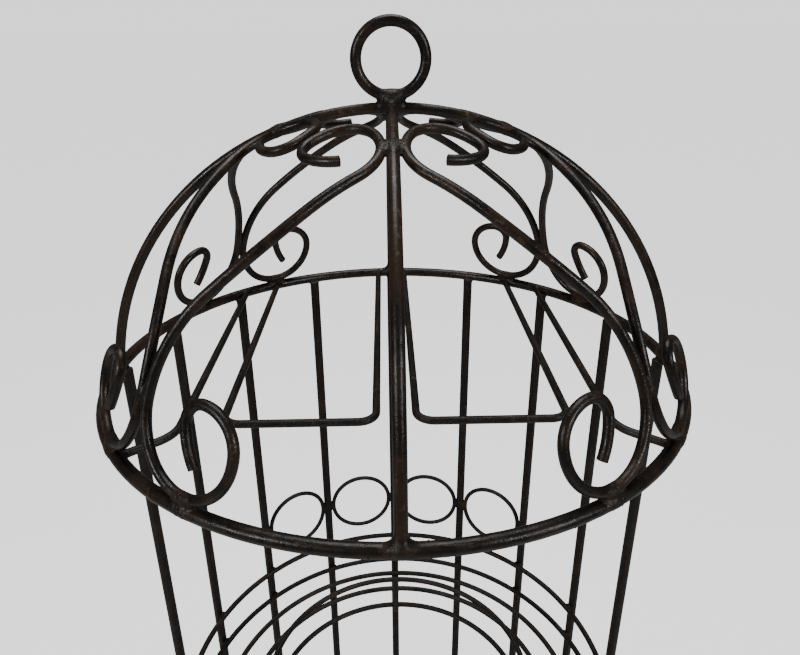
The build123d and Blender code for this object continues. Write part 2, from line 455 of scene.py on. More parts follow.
@dataclass(frozen=True)
class IronFinish:
    """Worn black paint on iron rod."""

    name: str
    grain: Grain = Grain.ROUND
    paint: Colour = (0.0080, 0.0076, 0.0072)
    brown: Colour = (0.0375, 0.0232, 0.0155)
    rust: Colour = (0.078, 0.040, 0.0220)
    bare: Colour = (0.075, 0.066, 0.058)
    brown_amount: float = 0.45
    rust_amount: float = 0.12
    marks_amount: float = 0.35
    blotches: float = 30.0
    roughness: float = 0.31
    gloss: float = 0.36
    wave_height: float = 1.0
    bump: float = 0.00045

    STRETCH = 0.05
    GROUPS = {}

    @classmethod
    def group(cls, name: str, make: Callable[[], bpy.types.NodeTree]) -> bpy.types.NodeTree:
        """Gives a shared node group, which is made the first time it is asked for."""
        if name not in cls.GROUPS:
            cls.GROUPS[name] = make()
        return cls.GROUPS[name]

    def place(
        self, writer: TreeWriter, name: str, make: Callable[[], bpy.types.NodeTree], feeds: dict
    ) -> Any:
        """Puts a shared node group into a material and gives its outputs."""
        node = writer.add("ShaderNodeGroup")
        node.node_tree = self.group(name, make)
        for key, value in feeds.items():
            if isinstance(value, bpy.types.NodeSocket):
                writer.tree.links.new(value, node.inputs[key])
            else:
                node.inputs[key].default_value = value
        return node.outputs

    def brush_place(self, writer: TreeWriter, spot: bpy.types.NodeSocket) -> tuple[Any, Any]:
        """Gives the coordinates that stretch the brush marks along a rod.

        Args:
            writer: the material's writer.
            spot: the Object coordinates.

        Returns:
            A vector and a fourth coordinate.
        """
        x, y, height = writer.add("ShaderNodeSeparateXYZ", {0: spot}).outputs
        z = writer.maths("SUBTRACT", height, DOME.centre.z)
        slow = [writer.maths("MULTIPLY", part, self.STRETCH) for part in (x, y, z)]
        flat = writer.maths("SQRT", writer.maths(
            "ADD", writer.maths("MULTIPLY", x, x), writer.maths("MULTIPLY", y, y)
        ))
        parts = {
            Grain.UPRIGHT: (x, y, slow[2], slow[0]),
            Grain.ROUND: (flat, z, slow[0], slow[1]),
            Grain.LENGTHWISE: (x, z, slow[1], slow[0]),
            Grain.OVER: (slow[0], slow[1], slow[2], writer.maths(
                "SQRT", writer.maths("ADD", writer.maths("MULTIPLY", flat, flat),
                                     writer.maths("MULTIPLY", z, z)))),
        }[self.grain]
        vector = writer.add("ShaderNodeCombineXYZ", dict(enumerate(parts[:3]))).outputs[0]
        return vector, parts[3]

    def material(self) -> bpy.types.Material:
        """Makes the finish's material."""
        material = bpy.data.materials.new(self.name)
        material.use_nodes = True
        material.node_tree.nodes.clear()
        writer = TreeWriter(material.node_tree)
        spot = writer.add("ShaderNodeTexCoord").outputs["Object"]
        patina = self.place(writer, "patina", make_patina, {
            "Vector": spot,
            "Paint": (*self.paint, 1.0),
            "Brown": (*self.brown, 1.0),
            "Rust": (*self.rust, 1.0),
            "Brown Amount": self.brown_amount,
            "Rust Amount": self.rust_amount,
            "Blotches": self.blotches,
        })
        vector, along = self.brush_place(writer, spot)
        marks = self.place(writer, "brushwork", make_brushwork, {
            "Vector": vector, "Along": along, "Amount": self.marks_amount,
        })["Mask"]
        pitting = self.place(writer, "pitting", make_pitting, {
            "Vector": spot, "Wave Height": self.wave_height,
        })
        faint = writer.maths("MULTIPLY", marks, 0.35)
        colour = writer.mixed(faint, patina["Colour"], (*self.bare, 1.0))
        rusty = writer.maths("MULTIPLY_ADD", patina["Rust Mask"], 0.30, self.roughness)
        rough = writer.maths("MULTIPLY_ADD", pitting["Dullness"], 0.45, rusty)
        high = writer.maths("MULTIPLY_ADD", marks, 0.10, pitting["Height"])
        high = writer.maths("MULTIPLY_ADD", patina["Rust Mask"], 0.25, high)
        bump = writer.add("ShaderNodeBump", {"Height": high, "Distance": self.bump})
        shader = writer.add("ShaderNodeBsdfPrincipled", {
            "Base Color": colour, "Roughness": rough, "Normal": bump.outputs[0],
            "Specular IOR Level": self.gloss,
        })
        writer.add("ShaderNodeOutputMaterial", {"Surface": shader.outputs[0]})
        return material


DOME_IRON = IronFinish("worn_dome_iron", Grain.OVER, brown_amount=0.70, rust_amount=0.12)
SCROLL_IRON = replace(DOME_IRON, name="worn_scroll_iron", brown_amount=0.55, blotches=42.0)
RIM_IRON = replace(DOME_IRON, name="worn_rim_iron", grain=Grain.ROUND, brown_amount=0.50)
BAR_IRON = IronFinish(
    "black_bar_iron", Grain.UPRIGHT, brown_amount=0.22, rust_amount=0.03, roughness=0.50
)
WIRE_IRON = replace(BAR_IRON, name="black_wire_iron", grain=Grain.ROUND)
RAIL_IRON = IronFinish(
    "rubbed_rail_iron", Grain.LENGTHWISE, paint=(0.0100, 0.0088, 0.0075),
    brown=(0.021, 0.0165, 0.0125), brown_amount=0.60, marks_amount=0.60, roughness=0.44,
)
FINIAL_IRON = replace(DOME_IRON, name="black_finial_iron", brown_amount=0.30, rust_amount=0.04)
LEG_IRON = replace(BAR_IRON, name="scuffed_leg_iron", brown_amount=0.40, rust_amount=0.14)
WELD_IRON = IronFinish(
    "brown_weld_iron", Grain.OVER, paint=(0.0095, 0.0082, 0.0070),
    brown=(0.040, 0.0235, 0.0145), brown_amount=0.62, rust_amount=0.24,
    marks_amount=0.10, blotches=60.0,
    roughness=0.42, gloss=0.30, wave_height=2.2, bump=0.0007,
)
FAR_WELD_IRON = replace(
    WELD_IRON, name="black_weld_iron", paint=(0.0085, 0.0078, 0.0072), brown_amount=0.35,
    rust_amount=0.10, gloss=0.32,
)


class Paintbox:
    """Makes each finish's material once."""

    made: dict[str, bpy.types.Material] = {}

    @classmethod
    def of(cls, finish: IronFinish) -> bpy.types.Material:
        """Gives the material of a finish."""
        if finish.name not in cls.made:
            cls.made[finish.name] = finish.material()
        return cls.made[finish.name]


def dress(nodes: Iterable[str], finish: IronFinish) -> None:
    """Gives nodes of the frame a finish.

    Args:
        nodes: names of the nodes.
        finish: the finish that they get.
    """
    material = Paintbox.of(finish)
    for name in nodes:
        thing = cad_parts[name]
        if not thing.material_slots:
            thing.data.materials.append(material)
        for place in thing.material_slots:
            place.material = material


# ------------------------------------------------------------------ weld metal
@dataclass(frozen=True)
class Lump:
    """One drop of weld metal, an ellipsoid."""

    place: Vector
    along: Vector
    side: Vector
    size: tuple[float, float, float]

    @property
    def turn(self) -> tuple[float, float, float]:
        """Gives the rotation that lays the lump's X along it and its Y to the side."""
        along = self.along.normalized()
        third = along.cross(self.side).normalized()
        second = third.cross(along)
        return tuple(Matrix((along, second, third)).transposed().to_euler())


def make_lump_tree() -> bpy.types.NodeTree:
    """Makes the Geometry Nodes tree that sets a rough lump of metal on each point.

    Returns:
        The tree. Its points carry their lump's turn and size.
    """
    tree = bpy.data.node_groups.new("weld_lumps", "GeometryNodeTree")
    tree.is_modifier = True
    sockets = (
        ("Points", "NodeSocketGeometry"),
        ("Detail", "NodeSocketInt"),
        ("Ripples", "NodeSocketFloat"),
        ("Ripple Height", "NodeSocketFloat"),
        ("Seed", "NodeSocketFloat"),
        ("Material", "NodeSocketMaterial"),
    )
    for label, kind in sockets:
        tree.interface.new_socket(label, in_out="INPUT", socket_type=kind)
    tree.interface.new_socket("Metal", in_out="OUTPUT", socket_type="NodeSocketGeometry")
    writer = TreeWriter(tree)
    given = writer.add("NodeGroupInput").outputs
    ball = writer.add("GeometryNodeMeshIcoSphere", {
        "Radius": 1.0, "Subdivisions": given["Detail"],
    })
    turn, size = (
        writer.add("GeometryNodeInputNamedAttribute", {"Name": name}, data_type="FLOAT_VECTOR")
        for name in ("turn", "size")
    )
    euler = writer.add("FunctionNodeEulerToRotation", {0: turn.outputs[0]})
    placed = writer.add("GeometryNodeInstanceOnPoints", {
        "Points": given["Points"], "Instance": ball.outputs["Mesh"],
        "Rotation": euler.outputs[0], "Scale": size.outputs[0],
    })
    real = writer.add("GeometryNodeRealizeInstances", {0: placed.outputs[0]})
    ripple = writer.noise(
        writer.add("GeometryNodeInputPosition").outputs[0], given["Ripples"], 2.0, given["Seed"]
    )
    uneven = writer.maths("SUBTRACT", ripple, 0.5)
    high = writer.maths("MULTIPLY", uneven, given["Ripple Height"])
    normal = writer.add("GeometryNodeInputNormal").outputs[0]
    push = writer.add("ShaderNodeVectorMath", {0: normal, "Scale": high}, operation="SCALE")
    moved = writer.add("GeometryNodeSetPosition", {
        "Geometry": real.outputs[0], "Offset": push.outputs[0],
    })
    smooth = writer.add("GeometryNodeSetShadeSmooth", {"Geometry": moved.outputs[0]})
    painted = writer.add("GeometryNodeSetMaterial", {
        "Geometry": smooth.outputs[0], "Material": given["Material"],
    })
    writer.add("NodeGroupOutput", {0: painted.outputs[0]})
    return tree


def baked(source: bpy.types.Object, name: str) -> bpy.types.Object:
    """Turns an object with a Geometry Nodes modifier into a plain mesh object.

    Args:
        source: the object, which is removed.
        name: the new object's name.

    Returns:
        The plain object.
    """
    bpy.context.view_layer.update()
    seen = source.evaluated_get(bpy.context.evaluated_depsgraph_get())
    mesh = bpy.data.meshes.new_from_object(seen)
    bpy.data.objects.remove(source)
    for left_over in ("turn", "size"):
        if left_over in mesh.attributes:
            mesh.attributes.remove(mesh.attributes[left_over])
    piece = bpy.data.objects.new(name, mesh)
    bpy.context.scene.collection.objects.link(piece)
    return piece


def kept(piece: bpy.types.Object) -> bpy.types.Object:
    """Makes a finished piece ride on the stand and reports it."""
    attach(piece, BODY)
    log.info("%s: %d faces", piece.name, len(piece.data.polygons))
    return piece


@dataclass
class Seam:
    """Weld lumps in the crease between two rods that lie side by side."""

    middle: Vector
    along: Vector
    side: Vector
    length: float
    width: float
    height: float
    drops: int = 3

    def lumps(self, chance: random.Random) -> Iterator[Lump]:
        """Gives the seam's lumps, each a little out of line.

        Args:
            chance: the seam's own run of random numbers.
        """
        along, side = self.along.normalized(), self.side.normalized()
        step = self.length / (self.drops + 1)
        for number in range(self.drops):
            shift = (number - (self.drops - 1) / 2) * step
            stray = chance.uniform(-0.12, 0.12) * self.width
            grown = chance.uniform(0.85, 1.15)
            size = (step * 1.05, self.width / 2 * grown, self.height / 2 * grown)
            yield Lump(self.middle + along * shift + side * stray, along, side, size)


@dataclass
class LumpPiece:
    """One piece of weld metal made of many lumps."""

    name: str
    seams: Sequence[Seam]
    detail: int = 3
    ripples: float = 420.0
    ripple_height: float = 0.0011
    seed: int = 1
    extra: Sequence[Lump] = ()
    finish: IronFinish = WELD_IRON

    TREE = []

    def build(self) -> bpy.types.Object:
        """Builds the piece and makes it ride on the stand."""
        if not self.TREE:
            self.TREE.append(make_lump_tree())
        chance = random.Random(self.seed)
        lumps = [lump for seam in self.seams for lump in seam.lumps(chance)]
        lumps += self.extra
        mesh = bpy.data.meshes.new(self.name)
        mesh.from_pydata([lump.place for lump in lumps], [], [])
        for label, values in (
            ("turn", [lump.turn for lump in lumps]),
            ("size", [lump.size for lump in lumps]),
        ):
            layer = mesh.attributes.new(label, "FLOAT_VECTOR", "POINT")
            layer.data.foreach_set("vector", [part for value in values for part in value])
        source = bpy.data.objects.new(self.name + "_points", mesh)
        bpy.context.scene.collection.objects.link(source)
        modifier = source.modifiers.new("lumps", "NODES")
        modifier.node_group = self.TREE[0]
        wanted = {
            "Detail": self.detail,
            "Ripples": self.ripples,
            "Ripple Height": self.ripple_height,
            "Seed": float(self.seed),
            "Material": Paintbox.of(self.finish),
        }
        for item in self.TREE[0].interface.items_tree:
            if item.in_out == "INPUT" and item.name in wanted:
                modifier[item.identifier] = wanted[item.name]
        return kept(baked(source, self.name))


@dataclass(frozen=True)
class Joint:
    """Weld metal that runs from one rod over onto others, thickest at its middle.

    Attributes:
        place: the middle of the weld.
        first: name of one rod.
        others: names of the rods that it is welded to.
        reach: how far from its middle the metal goes.
        blend: how wide the metal fills the crease.
        skin: how thick it lies on the rods.
        ripple: how high its ripples are.
        core: radius of a drop of metal in its middle.
        cell: size of the cells that it is shaped in.
    """

    place: Vector
    first: str
    others: tuple[str, ...]
    reach: float
    blend: float
    skin: float
    ripple: float
    core: float = 0.0
    cell: float = 0.45 * MM


class Welder:
    """Shapes welds with one Geometry Nodes tree, from the distance to each rod."""

    SOCKETS = (
        ("First Rod", "NodeSocketObject"),
        ("Other Rods", "NodeSocketObject"),
        ("Place", "NodeSocketVector"),
        ("Reach", "NodeSocketFloat"),
        ("Blend", "NodeSocketFloat"),
        ("Skin", "NodeSocketFloat"),
        ("Ripple", "NodeSocketFloat"),
        ("Waves", "NodeSocketFloat"),
        ("Core", "NodeSocketFloat"),
        ("Cells", "NodeSocketInt"),
        ("Seed", "NodeSocketFloat"),
        ("Material", "NodeSocketMaterial"),
    )
    WAVES = 330.0
    EDGE = 0.6 * MM
    RAGGED = 0.55  # how far the ripples move a weld's outline, of its reach
    WALL = 1.1  # where the metal is closed off, of its reach
    ROOM = 1.15  # half the side of the cube that is filled, of its reach
    MADE = []
    RAYS = ((0.31, 0.52, 0.79), (-0.57, 0.67, -0.47))
    RAY_LENGTH = 0.1

    def __init__(self) -> None:
        """Makes the tree."""
        self.tree = bpy.data.node_groups.new("weld_metal", "GeometryNodeTree")
        self.tree.is_modifier = True
        for label, kind in self.SOCKETS:
            self.tree.interface.new_socket(label, in_out="INPUT", socket_type=kind)
        self.tree.interface.new_socket(
            "Metal", in_out="OUTPUT", socket_type="NodeSocketGeometry"
        )
        self.writer = TreeWriter(self.tree)
        self.given = self.writer.add("NodeGroupInput").outputs
        self.fill()
        self.joined: dict[tuple[str, ...], bpy.types.Object] = {}

    @classmethod
    def only(cls) -> "Welder":
        """Gives the one welder, which is made the first time it is asked for."""
        if not cls.MADE:
            cls.MADE.append(cls())
        return cls.MADE[0]

    def depth(self, label: str, spot: bpy.types.NodeSocket) -> bpy.types.NodeSocket:
        """Gives the distance to a rod's surface, below zero inside the rod.

        Args:
            label: the tree's input that holds the rod.
            spot: the place to measure from.

        Returns:
            The socket of the distance.
        """
        add = self.writer.add
        rod = add("GeometryNodeObjectInfo", {"Object": self.given[label]}).outputs["Geometry"]
        near = add("GeometryNodeProximity", {0: rod, 2: spot}).outputs["Distance"]
        within: Any = 1.0
        for way in self.RAYS:
            ray = add("GeometryNodeRaycast", {
                "Target Geometry": rod, "Source Position": spot, "Ray Direction": way,
                "Ray Length": self.RAY_LENGTH,
            })
            turned = add("ShaderNodeVectorMath", {0: ray.outputs["Hit Normal"], 1: way},
                         operation="DOT_PRODUCT").outputs["Value"]
            leaving = self.writer.maths("GREATER_THAN", turned, 0.0)
            hit = self.writer.maths("MULTIPLY", leaving, ray.outputs["Is Hit"])
            within = self.writer.maths("MULTIPLY", hit, within)
        side = self.writer.maths("MULTIPLY_ADD", within, -2.0, 1.0)
        return self.writer.maths("MULTIPLY", near, side)

    def fill(self) -> None:
        """Builds the tree."""
        add, maths, given = self.writer.add, self.writer.maths, self.given
        spot = add("GeometryNodeInputPosition").outputs[0]
        off = add("ShaderNodeVectorMath", {0: spot, 1: given["Place"]}, operation="SUBTRACT")
        length = add("ShaderNodeVectorMath", {0: off.outputs[0]}, operation="LENGTH")
        away = length.outputs["Value"]
        first, others = self.depth("First Rod", spot), self.depth("Other Rods", spot)
        rods = maths("SMOOTH_MIN", first, others, given["Blend"])
        drop = maths("SUBTRACT", away, given["Core"])
        metal = maths("SMOOTH_MIN", rods, drop, given["Blend"])
        wave = self.writer.noise(spot, given["Waves"], 2.5, given["Seed"])
        uneven = maths("SUBTRACT", wave, 0.5)
        share = maths("DIVIDE", away, given["Reach"])
        ragged = maths("MULTIPLY_ADD", uneven, self.RAGGED, share)
        fade = maths("SUBTRACT", 1.0, maths("MULTIPLY", ragged, ragged))
        thick = maths("MULTIPLY", maths("ADD", given["Skin"], self.EDGE), fade)
        thick = maths("SUBTRACT", thick, self.EDGE)
        bumps = maths("MULTIPLY", maths("MULTIPLY", uneven, given["Ripple"]), fade)
        inside = maths("SUBTRACT", maths("ADD", thick, bumps), metal)
        wall = maths("SUBTRACT", maths("MULTIPLY", given["Reach"], self.WALL), away)
        closed = maths("MULTIPLY", maths("MINIMUM", inside, wall), 1.0 / MM)
        half = maths("MULTIPLY", given["Reach"], self.ROOM)
        corners = [
            add("ShaderNodeVectorMath", {0: given["Place"], 1: self.cube(size)},
                operation="ADD")
            for size in (maths("MULTIPLY", half, -1.0), half)
        ]
        cells = given["Cells"]
        cloud = add("GeometryNodeVolumeCube", {
            "Density": closed, "Background": -1.0, "Min": corners[0].outputs[0],
            "Max": corners[1].outputs[0], "Resolution X": cells, "Resolution Y": cells,
            "Resolution Z": cells,
        })
        mesh = add("GeometryNodeVolumeToMesh", {"Volume": cloud.outputs[0], "Threshold": 0.0})
        real = add("GeometryNodeRealizeInstances", {0: mesh.outputs[0]})
        smooth = add("GeometryNodeSetShadeSmooth", {"Geometry": real.outputs[0]})
        painted = add("GeometryNodeSetMaterial", {
            "Geometry": smooth.outputs[0], "Material": given["Material"],
        })
        add("NodeGroupOutput", {0: painted.outputs[0]})

    def cube(self, size: bpy.types.NodeSocket) -> bpy.types.NodeSocket:
        """Gives a vector with the same size along X, Y and Z."""
        return self.writer.add("ShaderNodeCombineXYZ", {0: size, 1: size, 2: size}).outputs[0]

    def rods(self, names: tuple[str, ...]) -> bpy.types.Object:
        """Gives one object that holds the rods of these names."""
        if len(names) == 1:
            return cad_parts[names[0]]
        if names not in self.joined:
            points: list[Vector] = []
            faces: list[tuple[int, ...]] = []
            for name in names:
                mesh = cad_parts[name].data
                faces += [
                    tuple(index + len(points) for index in face.vertices)
                    for face in mesh.polygons
                ]
                points += [corner.co.copy() for corner in mesh.vertices]
            mesh = bpy.data.meshes.new("joined_rods")
            mesh.from_pydata(points, [], faces)
            self.joined[names] = bpy.data.objects.new("joined_rods", mesh)
        return self.joined[names]

    def metal(self, joint: Joint, seed: int, finish: IronFinish) -> bpy.types.Mesh:
        """Shapes one weld.

        Args:
            joint: where the weld is and how large.
            seed: which ripples it gets.
            finish: its finish.

        Returns:
            Its mesh.
        """
        source = bpy.data.objects.new("weld", bpy.data.meshes.new("weld"))
        bpy.context.scene.collection.objects.link(source)
        modifier = source.modifiers.new("weld", "NODES")
        modifier.node_group = self.tree
        wanted = {
            "First Rod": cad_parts[joint.first],
            "Other Rods": self.rods(joint.others),
            "Place": joint.place,
            "Reach": joint.reach,
            "Blend": joint.blend,
            "Skin": joint.skin,
            "Ripple": joint.ripple,
            "Waves": self.WAVES,
            "Core": joint.core,
            "Cells": round(2.3 * joint.reach / joint.cell),
            "Seed": float(seed),
            "Material": Paintbox.of(finish),
        }
        for item in self.tree.interface.items_tree:
            if item.in_out == "INPUT":
                modifier[item.identifier] = wanted[item.name]
        bpy.context.view_layer.update()
        seen = source.evaluated_get(bpy.context.evaluated_depsgraph_get())
        mesh = bpy.data.meshes.new_from_object(seen)
        bpy.data.objects.remove(source)
        return mesh

    def piece(
        self, name: str, joints: Iterable[Joint], seed: int, finish: IronFinish
    ) -> bpy.types.Object:
        """Joins welds in one piece.

        Args:
            name: the piece's name.
            joints: the welds in it.
            seed: where its run of ripples starts.
            finish: its finish.

        Returns:
            The piece, riding on the stand.
        """
        whole = bmesh.new()
        for number, joint in enumerate(joints):
            whole.from_mesh(self.metal(joint, seed + number, finish))
        mesh = bpy.data.meshes.new(name)
        whole.to_mesh(mesh)
        whole.free()
        mesh.materials.append(Paintbox.of(finish))
        mesh.shade_smooth()
        piece = bpy.data.objects.new(name, mesh)
        bpy.context.scene.collection.objects.link(piece)
        return kept(piece)


# ------------------------------------------------------------------ dome
@dataclass
class Dome:
    """The rim, the ribs, the scrolls and the ring on top."""

    shape: DomeShape = DOME
    scroll: float = 3.5 * MM
    rib_touch: float = 0.925
    pair_touch: float = 0.27
    rim_touch: float = 33.5
    rim_butt: float = 220.0

    QUARTER_NAMES = ("back_right", "front_right", "front_left", "back_left")

    def paint(self) -> None:
        """Paints the dome's rods."""
        dress(["dome_rim"], RIM_IRON)
        dress([*nodes_named("side_rib"), "back_rib", "front_rib"], DOME_IRON)
        dress(["finial_ring", "finial_collar"], FINIAL_IRON)
        dress(nodes_named("scroll_"), SCROLL_IRON)

    def rib_feet(self) -> Iterator[Joint]:
        """Gives the broad welds where the ribs stand on the rim."""
        rim = self.shape.rim
        ribs = dict(zip(QUARTERS, ("back_rib", "side_rib", "front_rib", "side_rib")))
        for azimuth, rib in ribs.items():
            place = rim.at(azimuth, 0.6 * rim.rod, 0.5 * rim.rod)
            yield Joint(place, "dome_rim", (rib,), 14.5 * MM, 10.0 * MM, 0.55 * MM, 1.3 * MM)

    def rib_joints(self) -> Iterator[Joint]:
        """Gives the welds between the ribs and the scrolls beside them."""
        for azimuth, rib in zip(QUARTERS, ("back", "right", "front", "left")):
            point = self.shape.point(azimuth, self.rib_touch)
            out = self.shape.outward(point)
            node = "side_rib" if rib in ("right", "left") else f"{rib}_rib"
            for name in nodes_named("scroll_"):
                if not name.endswith(f"on_{rib}_rib"):
                    continue
                low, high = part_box(name)
                side = 1 if ((low + high) / 2).dot(around(azimuth)) > 0 else -1
                place = point + around(azimuth) * side * self.shape.rib + out * 1.2 * MM
                yield Joint(place, name, (node,), 9.5 * MM, 5.5 * MM, 1.0 * MM, 3.0 * MM)

    def pair_joints(self) -> Iterator[Joint]:
        """Gives the welds between the two scrolls of each quarter."""
        for azimuth, quarter in zip(QUARTERS, self.QUARTER_NAMES):
            first, second = nodes_named(f"scroll_{quarter}_")
            place = self.shape.point(azimuth + 45.0, self.pair_touch)
            yield Joint(place, first, (second,), 10.0 * MM, 4.0 * MM, 0.35 * MM, 0.9 * MM)

    def rim_joints(self) -> Iterator[Joint]:
        """Gives the welds where the scrolls lie on the rim."""
        rim = self.shape.rim
        for quarter, quarter_name in zip(QUARTERS, self.QUARTER_NAMES):
            for name in nodes_named(f"scroll_{quarter_name}_"):
                low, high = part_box(name)
                middle = (low + high) / 2
                past = (azimuth_of(middle) - quarter) % 360.0
                turn = self.rim_touch if past < 45.0 else 90.0 - self.rim_touch
                place = rim.at(quarter + turn, 0.3 * rim.rod, 0.9 * rim.rod)
                yield Joint(place, "dome_rim", (name,), 13.0 * MM, 5.0 * MM, 0.8 * MM, 2.8 * MM)

    def crown_joint(self) -> Joint:
        """Gives the mass of weld between the ribs and the ring on top."""
        ring_low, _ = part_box("finial_ring")
        place = UP * (ring_low.z + 0.4 * MM)
        ribs = ("side_rib", "front_rib", "back_rib")
        return Joint(place, "finial_ring", ribs, 14.0 * MM, 6.0 * MM, 0.8 * MM, 2.0 * MM,
                     7.4 * MM, 0.4 * MM)

    def butt_joint(self) -> Joint:
        """Gives the weld where the two ends of the rim's rod meet."""
        place = self.shape.rim.at(self.rim_butt)
        return Joint(place, "dome_rim", ("dome_rim",), 8.5 * MM, 0.6 * MM, 0.5 * MM, 1.2 * MM)

    def front_rib_end(self) -> Lump:
        """Gives the rounded end of the front rib, which lies on the crown weld."""
        way, rib = outward(180.0), self.shape.rib
        spot = self.shape.crown + way * 2.3 * rib + UP * 0.50 * rib
        return Lump(spot, way, around(180.0), (1.7 * rib, 1.25 * rib, 1.2 * rib))

    def spatter(self, chance: random.Random) -> Iterator[Lump]:
        """Gives the small balls of metal that the torch threw on the rim, by the rib feet and
        scroll welds.

        Args:
            chance: the run of random numbers that scatters them.
        """
        rim = self.shape.rim
        spots = [*QUARTERS]
        spots += [quarter + turn for quarter in QUARTERS for turn in (33.5, 56.5)]
        for spot in spots:
            for _ in range(7):
                azimuth = spot + chance.gauss(0.0, 3.2)
                round_rod = math.radians(chance.uniform(-70.0, 200.0))
                ball = chance.uniform(0.35, 0.8) * MM
                out = rim.rod * math.cos(round_rod)
                above = rim.rod * math.sin(round_rod)
                size = (ball * chance.uniform(1.0, 1.8), ball, ball)
                yield Lump(rim.at(azimuth, out, above), around(azimuth), UP, size)

    def scroll_ends(self) -> Iterator[tuple[Vector, Vector]]:
        """Gives the place and direction of each cut end of the scrolls."""
        ends = ((20.0, 0.895, 75.0 + 180.0), (31.5, 0.140, -34.0))
        for quarter in QUARTERS:
            for turn, share, heading in ends:
                for place, way in ((turn, heading), (90.0 - turn, -heading)):
                    point = self.shape.point(quarter + place, share)
                    yield point, self.shape.heading(point, way)

    def end_burrs(self) -> Iterator[Lump]:
        """Gives the thin domed burr that the cutter left on each scroll end."""
        for point, way in self.scroll_ends():
            side = self.shape.outward(point)
            size = (0.45 * MM, self.scroll * 0.93, self.scroll * 0.93)
            yield Lump(point, way, side, size)

    def build(self) -> None:
        """Builds the dome's welds and burrs."""
        self.paint()
        welder = Welder.only()
        welder.piece("rib_foot_welds", self.rib_feet(), 20, WELD_IRON)
        welder.piece("rib_scroll_welds", self.rib_joints(), 30, WELD_IRON)
        welder.piece("scroll_pair_welds", self.pair_joints(), 40, FAR_WELD_IRON)
        welder.piece("scroll_rim_welds", self.rim_joints(), 50, WELD_IRON)
        crown = welder.piece("crown_weld", [self.crown_joint()], 60, FAR_WELD_IRON)
        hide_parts("finial_collar")
        welder.piece("rim_butt_weld", [self.butt_joint()], 65, RIM_IRON)
        end = self.front_rib_end()
        LumpPiece("front_rib_end", [], 4, 380.0, 0.0009, 43, [end], WELD_IRON).build()
        spatter = list(self.spatter(random.Random(13)))
        LumpPiece("rim_spatter", [], 2, 420.0, 0.0001, 13, spatter).build()
        LumpPiece("scroll_end_burrs", [], 4, 900.0, 0.0002, 17, list(self.end_burrs())).build()


# ------------------------------------------------------------------ glass rails
@dataclass
class GlassRails:
    """The rails in the rim that hold stemmed glasses."""

    rim: Hoop = field(default_factory=lambda: Hoop.of("dome_rim"))

    def ends(self) -> Iterator[Joint]:
        """Gives the weld at each end of the rails."""
        for name in nodes_named("glass_rail_"):
            low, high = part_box(name)
            rod = (high.z - low.z) / 2
            inner, outer = sorted((low.x + rod, high.x - rod), key=abs)
            places = [self.on_back(inner)]
            if name.endswith("loop"):
                places.append(self.on_back(outer))
            else:
                places.append(self.rim.at(math.degrees(math.atan2(outer, low.y + rod))))
            for place in places:
                yield Joint(place - outward(azimuth_of(place)) * self.rim.rod, "dome_rim",
                            (name,), 8.5 * MM, 3.5 * MM, 0.3 * MM, 0.9 * MM)

    def on_back(self, x: float) -> Vector:
        """Gives the point on the back of the rim at a distance from the middle."""
        return Vector((x, math.sqrt(self.rim.radius**2 - x**2), self.rim.level))

    def build(self) -> None:
        """Paints the rails and builds the welds at their ends."""
        dress(nodes_named("glass_rail_"), RAIL_IRON)
        Welder.only().piece("rail_end_welds", self.ends(), 90, FAR_WELD_IRON)


# ------------------------------------------------------------------ cage
@dataclass
class Cage:
    """The bars and the band of wire circles."""

    bars: list[Upright] = field(
        default_factory=lambda: [Upright.of(name) for name in nodes_named("cage_bar_")]
    )
    rim: Hoop = field(default_factory=lambda: Hoop.of("dome_rim"))
    base: Hoop = field(default_factory=lambda: Hoop.of("base_ring"))

    def ends(self) -> Iterator[Joint]:
        """Gives the welds at the top and the foot of each bar."""
        for name, bar in zip(nodes_named("cage_bar_"), self.bars):
            top = bar.axis + UP * (self.rim.level - 0.8 * self.rim.rod)
            foot = bar.axis + UP * (self.base.level + 0.8 * self.base.rod)
            for place, hoop in ((top, "dome_rim"), (foot, "base_ring")):
                yield Joint(place, hoop, (name,), 9.5 * MM, 4.0 * MM, 0.25 * MM, 0.9 * MM,
                            cell=0.55 * MM)

    def circle_joints(self) -> Iterator[Joint]:
        """Gives the welds between the wire circles and the bars beside them."""
        for name in nodes_named("band_circle_"):
            low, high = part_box(name)
            middle = (low + high) / 2
            flat = Vector((middle.x, middle.y, 0.0))
            bars = zip(nodes_named("cage_bar_"), self.bars)
            for bar_name, bar in sorted(bars, key=lambda one: (one[1].axis - flat).length)[:2]:
                way = (flat - bar.axis).normalized()
                place = bar.axis + way * bar.rod + UP * middle.z
                yield Joint(place, bar_name, (name,), 8.0 * MM, 4.0 * MM, 0.45 * MM, 1.2 * MM)

    def build(self) -> None:
        """Paints the bars and circles and builds their welds."""
        dress(nodes_named("cage_bar_"), BAR_IRON)
        dress(nodes_named("band_circle_"), WIRE_IRON)
        Welder.only().piece("bar_end_welds", self.ends(), 70, FAR_WELD_IRON)
        Welder.only().piece("circle_welds", self.circle_joints(), 150, FAR_WELD_IRON)


def hoop_seams(hoop: Hoop, bars: Iterable[Upright]) -> Iterator[Seam]:
    """Gives the seams where a hoop lies inside the bars.

    Args:
        hoop: the hoop.
        bars: the bars that it is welded to.
    """
    for bar in bars:
        way = around(bar.azimuth)
        place = hoop.at(bar.azimuth, outside=hoop.rod)
        yield Seam(place, way, UP, 10 * MM, hoop.rod * 2.1, 4.0 * MM, 3)


def crossing_seam(ring: Hoop, azimuth: float, below: float) -> Seam:
    """Gives the weld where a ring lies across a rod below it.

    Args:
        ring: the ring.
        azimuth: where the rod crosses it.
        below: the distance from the ring's centre line down to the touch.
    """
    place = ring.at(azimuth, above=-below)
    return Seam(place, around(azimuth), outward(azimuth), 8.5 * MM, 8.0 * MM, 3.4 * MM, 3)


